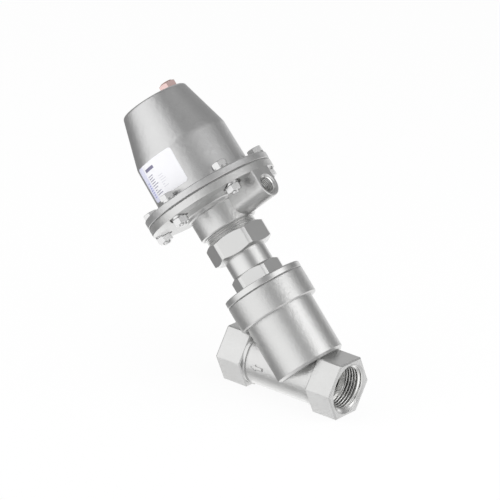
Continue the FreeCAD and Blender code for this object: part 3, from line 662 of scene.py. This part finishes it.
# Points from arrays of radius r, angle a, height h: start + axis h + (first cos a + second sin a) r, metres.
def cylindrical(radius, angle, height, start, axis, first, second):
    axis, first, second = (np.array(v) for v in (axis, first, second))
    ring = np.cos(angle)[..., None] * first + np.sin(angle)[..., None] * second
    return np.array(start) + mm * (height[..., None] * axis + radius[..., None] * ring)


# Internal thread: a ridge with blunt crest and straight flanks, carried along a helix.
# Ridge height over one pitch is depth * (steepness (1 - 2 |x|) - blunting), held between 0 and depth, with x
# from -0.5 to 0.5 of the pitch. It fades out over part of a turn at both ends. At the mouth it is cut back to
# the countersink, whose radius is mouthRadius - mouthSlope * height. The roots lie "sunk" mm in the metal.
threadForm = {"steepness": 1.5, "blunting": 0.25, "fade": 0.33, "sunk": 0.02, "backing": 0.25}
threadStations = np.array([0.0, 0.06, 0.1, 0.2, 0.32, 0.4, 0.44, 0.5])


def internalThread(name, thread, start, axis, first, second, steps=72):
    sunk, pitch = threadForm["sunk"], thread["pitch"]
    turns = (thread["end"] - thread["begin"] - pitch) / pitch
    t = np.linspace(0.0, turns, int(turns * steps) + 1)
    x = np.concatenate([-threadStations[:0:-1], threadStations])
    ridge = np.clip(threadForm["steepness"] * (1 - 2 * np.abs(x)) - threadForm["blunting"], 0.0, 1.0)
    fading = np.clip(np.minimum(t, turns - t) / threadForm["fade"], 0.0, 1.0)
    radius = thread["wallRadius"] + sunk - (thread["depth"] + sunk) * ridge[None, :] * fading[:, None]
    height = thread["begin"] + pitch / 2 + pitch * (t[:, None] + x[None, :])
    sink = thread["mouthRadius"] + sunk - thread["mouthSlope"] * height
    buried = np.maximum(thread["wallRadius"], sink[:, [-1, 0]]) + threadForm["backing"]
    radius = np.hstack([np.maximum(radius, sink), buried])
    height = np.hstack([height, height[:, [-1, 0]]])
    angle = np.repeat(2 * np.pi * t[:, None], radius.shape[1], 1)
    points = cylindrical(radius, angle, height, start, axis, first, second)
    return tubePiece(name, points)


portThread = {
    "wallRadius": 16.62,
    "depth": 1.47,
    "pitch": 2.309,
    "begin": 0.04,
    "end": 16.7,
    "mouthRadius": 18.3,
    "mouthSlope": 1.4,
}
airThread = {
    "wallRadius": 6.58,
    "depth": 0.86,
    "pitch": 1.337,
    "begin": 0.04,
    "end": 11.7,
    "mouthRadius": 7.6,
    "mouthSlope": 1.0,
}
airPort = {"reach": 49.3, "station": 131.48, "clocking": 2.8}  # mm from the axis, mm along it, degrees


def makeThreads():
    east = Vector((1.0, 0.0, 0.0))
    north = Vector((0.0, 1.0, 0.0))
    skyward = Vector((0.0, 0.0, 1.0))
    nearEnd = (0.0, 0.0, 0.0)
    inlet = internalThread("inlet_thread", portThread, nearEnd, -east, north, -skyward)
    dress(inlet, "boredSteel", "body")
    farEnd = (-pipeLength * mm, 0.0, 0.0)
    outlet = internalThread("outlet_thread", portThread, farEnd, east, north, skyward)
    dress(outlet, "boredSteel", "body")
    turn = math.radians(airPort["clocking"])
    outward = acrossAxis * math.cos(turn) + sideways * math.sin(turn)
    across = sideways * math.cos(turn) - acrossAxis * math.sin(turn)
    mouth = axisStart + alongAxis * (airPort["station"] * mm) + outward * (airPort["reach"] * mm)
    air = internalThread("air_thread", airThread, mouth, -outward, across, -alongAxis, steps=48)
    dress(air, "boredSteel", "actuator")


makeThreads()
print("threads made")


# Coil spring: a round wire along a helix whose ends are ground flat.
# Centre line: radius R, angle 2 pi t, height bottom + wire/4 + rise t, t in turns; points above or below the
# ends are pressed flat.
springs = {
    "closing_spring_outer": {"node": "outer_spring", "radius": 18.0, "wire": 4.0, "turns": 6.0},
    "closing_spring_inner": {"node": "inner_spring", "radius": 11.5, "wire": 2.8, "turns": 9.0},
}
springBottom = 160.0
springTop = 221.36


def coilSpring(name, radius, wire, turns, bottom, top, steps=64, sides=16):
    start = bottom + wire / 4
    rise = (top - bottom - wire / 2) / turns
    t = np.linspace(0.0, turns, int(turns * steps) + 1)[:, None]
    a = np.linspace(0.0, 2 * np.pi, sides, endpoint=False)[None, :]
    slope = math.atan2(rise, 2 * math.pi * radius)
    outward = wire / 2 * np.cos(a)
    along = -wire / 2 * np.sin(a) * math.sin(slope)
    height = start + rise * t + wire / 2 * np.sin(a) * math.cos(slope)
    angle = 2 * np.pi * t + along / (radius + outward)
    points = cylindrical(
        radius + outward + 0 * t,
        angle,
        np.clip(height, bottom, top),
        axisStart,
        alongAxis,
        acrossAxis,
        sideways,
    )
    return tubePiece(name, points, flip=True)


def makeSprings():
    for name, spring in springs.items():
        piece = coilSpring(name, spring["radius"], spring["wire"], spring["turns"], springBottom, springTop)
        dress(piece, "springSteel", "actuator")
        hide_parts(spring["node"])
        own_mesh(piece)


makeSprings()
print("springs made")


# Cast flow arrow, raised on the barrel's side. It points from the inlet to the outlet.
# Half width over the length u: the shaft's up to the head, then falling in a straight line to the tip.
arrow = {
    "centre": -65.5,
    "length": 10.0,
    "head": 4.0,
    "shaftWidth": 2.4,
    "headWidth": 5.0,
    "height": 0.7,
    "angle": 179.5,  # degrees round the pipe
    "barb": 0.15,  # slant of the head's back
    "tip": 0.05,  # half width left at the tip
    "sunk": 0.4,  # share of the height that goes into the barrel
}
barrelRadius = 19.3


def makeArrow():
    length, head = arrow["length"], arrow["head"]
    shaftStations = np.array([0.0, 0.25, 0.5, 0.75, 1.0]) * (length - head - arrow["barb"])
    headStations = length - head + np.array([0.0, 0.34, 0.67, 1.0]) * head
    u = np.concatenate([shaftStations, headStations])
    onShaft = np.arange(len(u)) < len(shaftStations)
    half = np.where(onShaft, arrow["shaftWidth"] / 2, (length - u) / head * arrow["headWidth"] / 2)
    half = np.maximum(half, arrow["tip"])
    v = np.array([-1.0, -0.9, -0.45, 0.0, 0.45, 0.9, 1.0])
    lift = np.where(np.abs(v) == 1.0, -arrow["sunk"], 1.0) * arrow["height"]
    x = arrow["centre"] + length / 2 - np.repeat(u[:, None], len(v), 1)
    angle = math.radians(arrow["angle"]) + half[:, None] * v[None, :] / barrelRadius
    radius = barrelRadius + np.repeat(lift[None, :], len(u), 0)
    east, north, skyward = np.eye(3)
    points = cylindrical(radius, angle, x, (0, 0, 0), east, north, skyward)
    piece = tubePiece("flow_arrow", points, flip=True)
    dress(piece, "castSteel", "body")


makeArrow()
print("flow arrow made")


# Studio
# The world is white to the camera. Metal sees a soft studio: a wide bright front on the left, a weaker one
# high on the right, pale paper below and behind, low fills on the right, and a dim room between them.
studio = {
    "dim": 0.30,
    "room": 0.66,  # what matt surfaces are lit by
    "lobes": [
        {"azimuth": -22.0, "elevation": 6.0, "inner": 25.0, "outer": 60.0, "level": 0.98},
        {"azimuth": -38.0, "elevation": 30.0, "inner": 20.0, "outer": 48.0, "level": 0.94},
        {"azimuth": 108.0, "elevation": 48.0, "inner": 12.0, "outer": 46.0, "level": 0.33},
        {"azimuth": 173.0, "elevation": -28.0, "inner": 24.0, "outer": 45.0, "level": 0.88},
        {"azimuth": -100.0, "elevation": -80.0, "inner": 18.0, "outer": 40.0, "level": 0.85},
        {"azimuth": -135.0, "elevation": -52.0, "inner": 8.0, "outer": 24.0, "level": 1.20},
        {"azimuth": -142.0, "elevation": 28.0, "inner": 8.0, "outer": 30.0, "level": 0.36},
        {"azimuth": 90.0, "elevation": -22.0, "inner": 14.0, "outer": 34.0, "level": 0.85},
        {"azimuth": 63.0, "elevation": 19.0, "inner": 8.0, "outer": 28.0, "level": 0.60},
        {"azimuth": 76.0, "elevation": -60.0, "inner": 10.0, "outer": 32.0, "level": 0.55},
    ],
}


# Level = dim + the strongest lobe. A lobe is at its level up to the inner angle from its middle and fades to
# nothing at the outer one, smoothly in the cosine of the angle.
def makeWorld():
    world = bpy.data.worlds.new("studio")
    bpy.context.scene.world = world
    tree = newTree(world)
    towards = add(tree, "ShaderNodeTexCoord").outputs["Generated"]
    strongest = 0.0
    for lobe in studio["lobes"]:
        middle = direction(lobe["azimuth"], lobe["elevation"])
        near = dotWith(tree, towards, middle)
        outer = math.cos(math.radians(lobe["outer"]))
        inner = math.cos(math.radians(lobe["inner"]))
        level = mapped(tree, near, outer, inner, 0.0, lobe["level"], smooth=True)
        strongest = maths(tree, "MAXIMUM", level, strongest)
    seen = maths(tree, "ADD", studio["dim"], strongest)
    ray = add(tree, "ShaderNodeLightPath").outputs
    inMetal = maths(tree, "MULTIPLY", seen, ray["Is Glossy Ray"])
    plain = maths(tree, "SUBTRACT", 1.0, ray["Is Glossy Ray"])
    inMatt = maths(tree, "MULTIPLY", plain, studio["room"])
    indirect = maths(tree, "ADD", inMetal, inMatt)
    white = maths(tree, "MAXIMUM", ray["Is Camera Ray"], ray["Is Transmission Ray"])
    strength = maths(tree, "MAXIMUM", indirect, white)
    shader = add(tree, "ShaderNodeBackground", {"Color": (1.0, 1.0, 1.0, 1.0), "Strength": strength})
    add(tree, "ShaderNodeOutputWorld", {"Surface": shader.outputs[0]})


# Lamps: where they stand round the part's middle, their size and power, and whether metal mirrors them.
softBoxes = {
    "leftBox": {"azimuth": -35.0, "elevation": 25.0, "distance": 1.6, "size": 1.1, "watts": 9.0},
    "rightBox": {"azimuth": 130.0, "elevation": 22.0, "distance": 1.2, "size": 0.6, "watts": 2.5},
    "overhead": {"azimuth": 10.0, "elevation": 80.0, "distance": 1.8, "size": 1.2, "watts": 5.0},
    "nearCard": {"azimuth": 95.0, "elevation": 33.0, "distance": 0.44, "size": 0.34, "watts": 0.40},
}
mirroredBoxes = ["nearCard"]
lit = Vector((-85.0, 0.0, 70.0)) * mm  # the part's middle, which every lamp faces


def makeLights():
    for name, box in softBoxes.items():
        data = bpy.data.lights.new(name, "AREA")
        data.shape = "SQUARE"
        data.size = box["size"]
        data.energy = box["watts"]
        lamp = bpy.data.objects.new(name, data)
        away = direction(box["azimuth"], box["elevation"])
        lamp.location = lit + away * box["distance"]
        lamp.rotation_mode = "QUATERNION"
        lamp.rotation_quaternion = away.to_track_quat("Z", "Y")
        lamp.visible_glossy = name in mirroredBoxes
        bpy.context.scene.collection.objects.link(lamp)


# The camera sees "shade" of the floor's own light and shadow, and white for the rest.
floor = {
    "size": 6.0,
    "below": 0.0004,
    "colour": (0.95, 0.95, 0.95, 1.0),
    "cloud": (0.8, 0.8, 0.8, 1.0),
    "cloudShare": 0.03,
    "cloudScale": 6.0,
    "shade": 0.08,
}


def makeFloor():
    half = floor["size"] / 2
    z = cadLow.z - floor["below"]
    corners = [(-half, -half, z), (half, -half, z), (half, half, z), (-half, half, z)]
    mesh = bpy.data.meshes.new("floor")
    mesh.from_pydata(corners, [], [(0, 1, 2, 3)])
    piece = bpy.data.objects.new("floor", mesh)
    bpy.context.scene.collection.objects.link(piece)
    material = bpy.data.materials.new("paleFloor")
    tree = newTree(material)
    cloud = noise(tree, objectPlace(tree), floor["cloudScale"], 2.0)
    clouded = mapped(tree, cloud, *noiseRange, 0.0, floor["cloudShare"])
    colour = mixColours(tree, clouded, floor["colour"], floor["cloud"])
    matt = add(tree, "ShaderNodeBsdfDiffuse", {"Color": colour})
    white = add(tree, "ShaderNodeEmission", {"Color": (1.0, 1.0, 1.0, 1.0), "Strength": 1.0})
    ray = add(tree, "ShaderNodeLightPath").outputs
    seen = maths(tree, "MAXIMUM", ray["Is Camera Ray"], ray["Is Transmission Ray"])
    share = maths(tree, "MULTIPLY", seen, 1.0 - floor["shade"])
    mixed = add(tree, "ShaderNodeMixShader", {0: share, 1: matt.outputs[0], 2: white.outputs[0]})
    add(tree, "ShaderNodeOutputMaterial", {"Surface": mixed.outputs[0]})
    mesh.materials.append(material)
    piece.visible_glossy = False


makeWorld()
makeLights()
makeFloor()
bpy.context.scene.view_settings.view_transform = "Standard"
print("studio made")
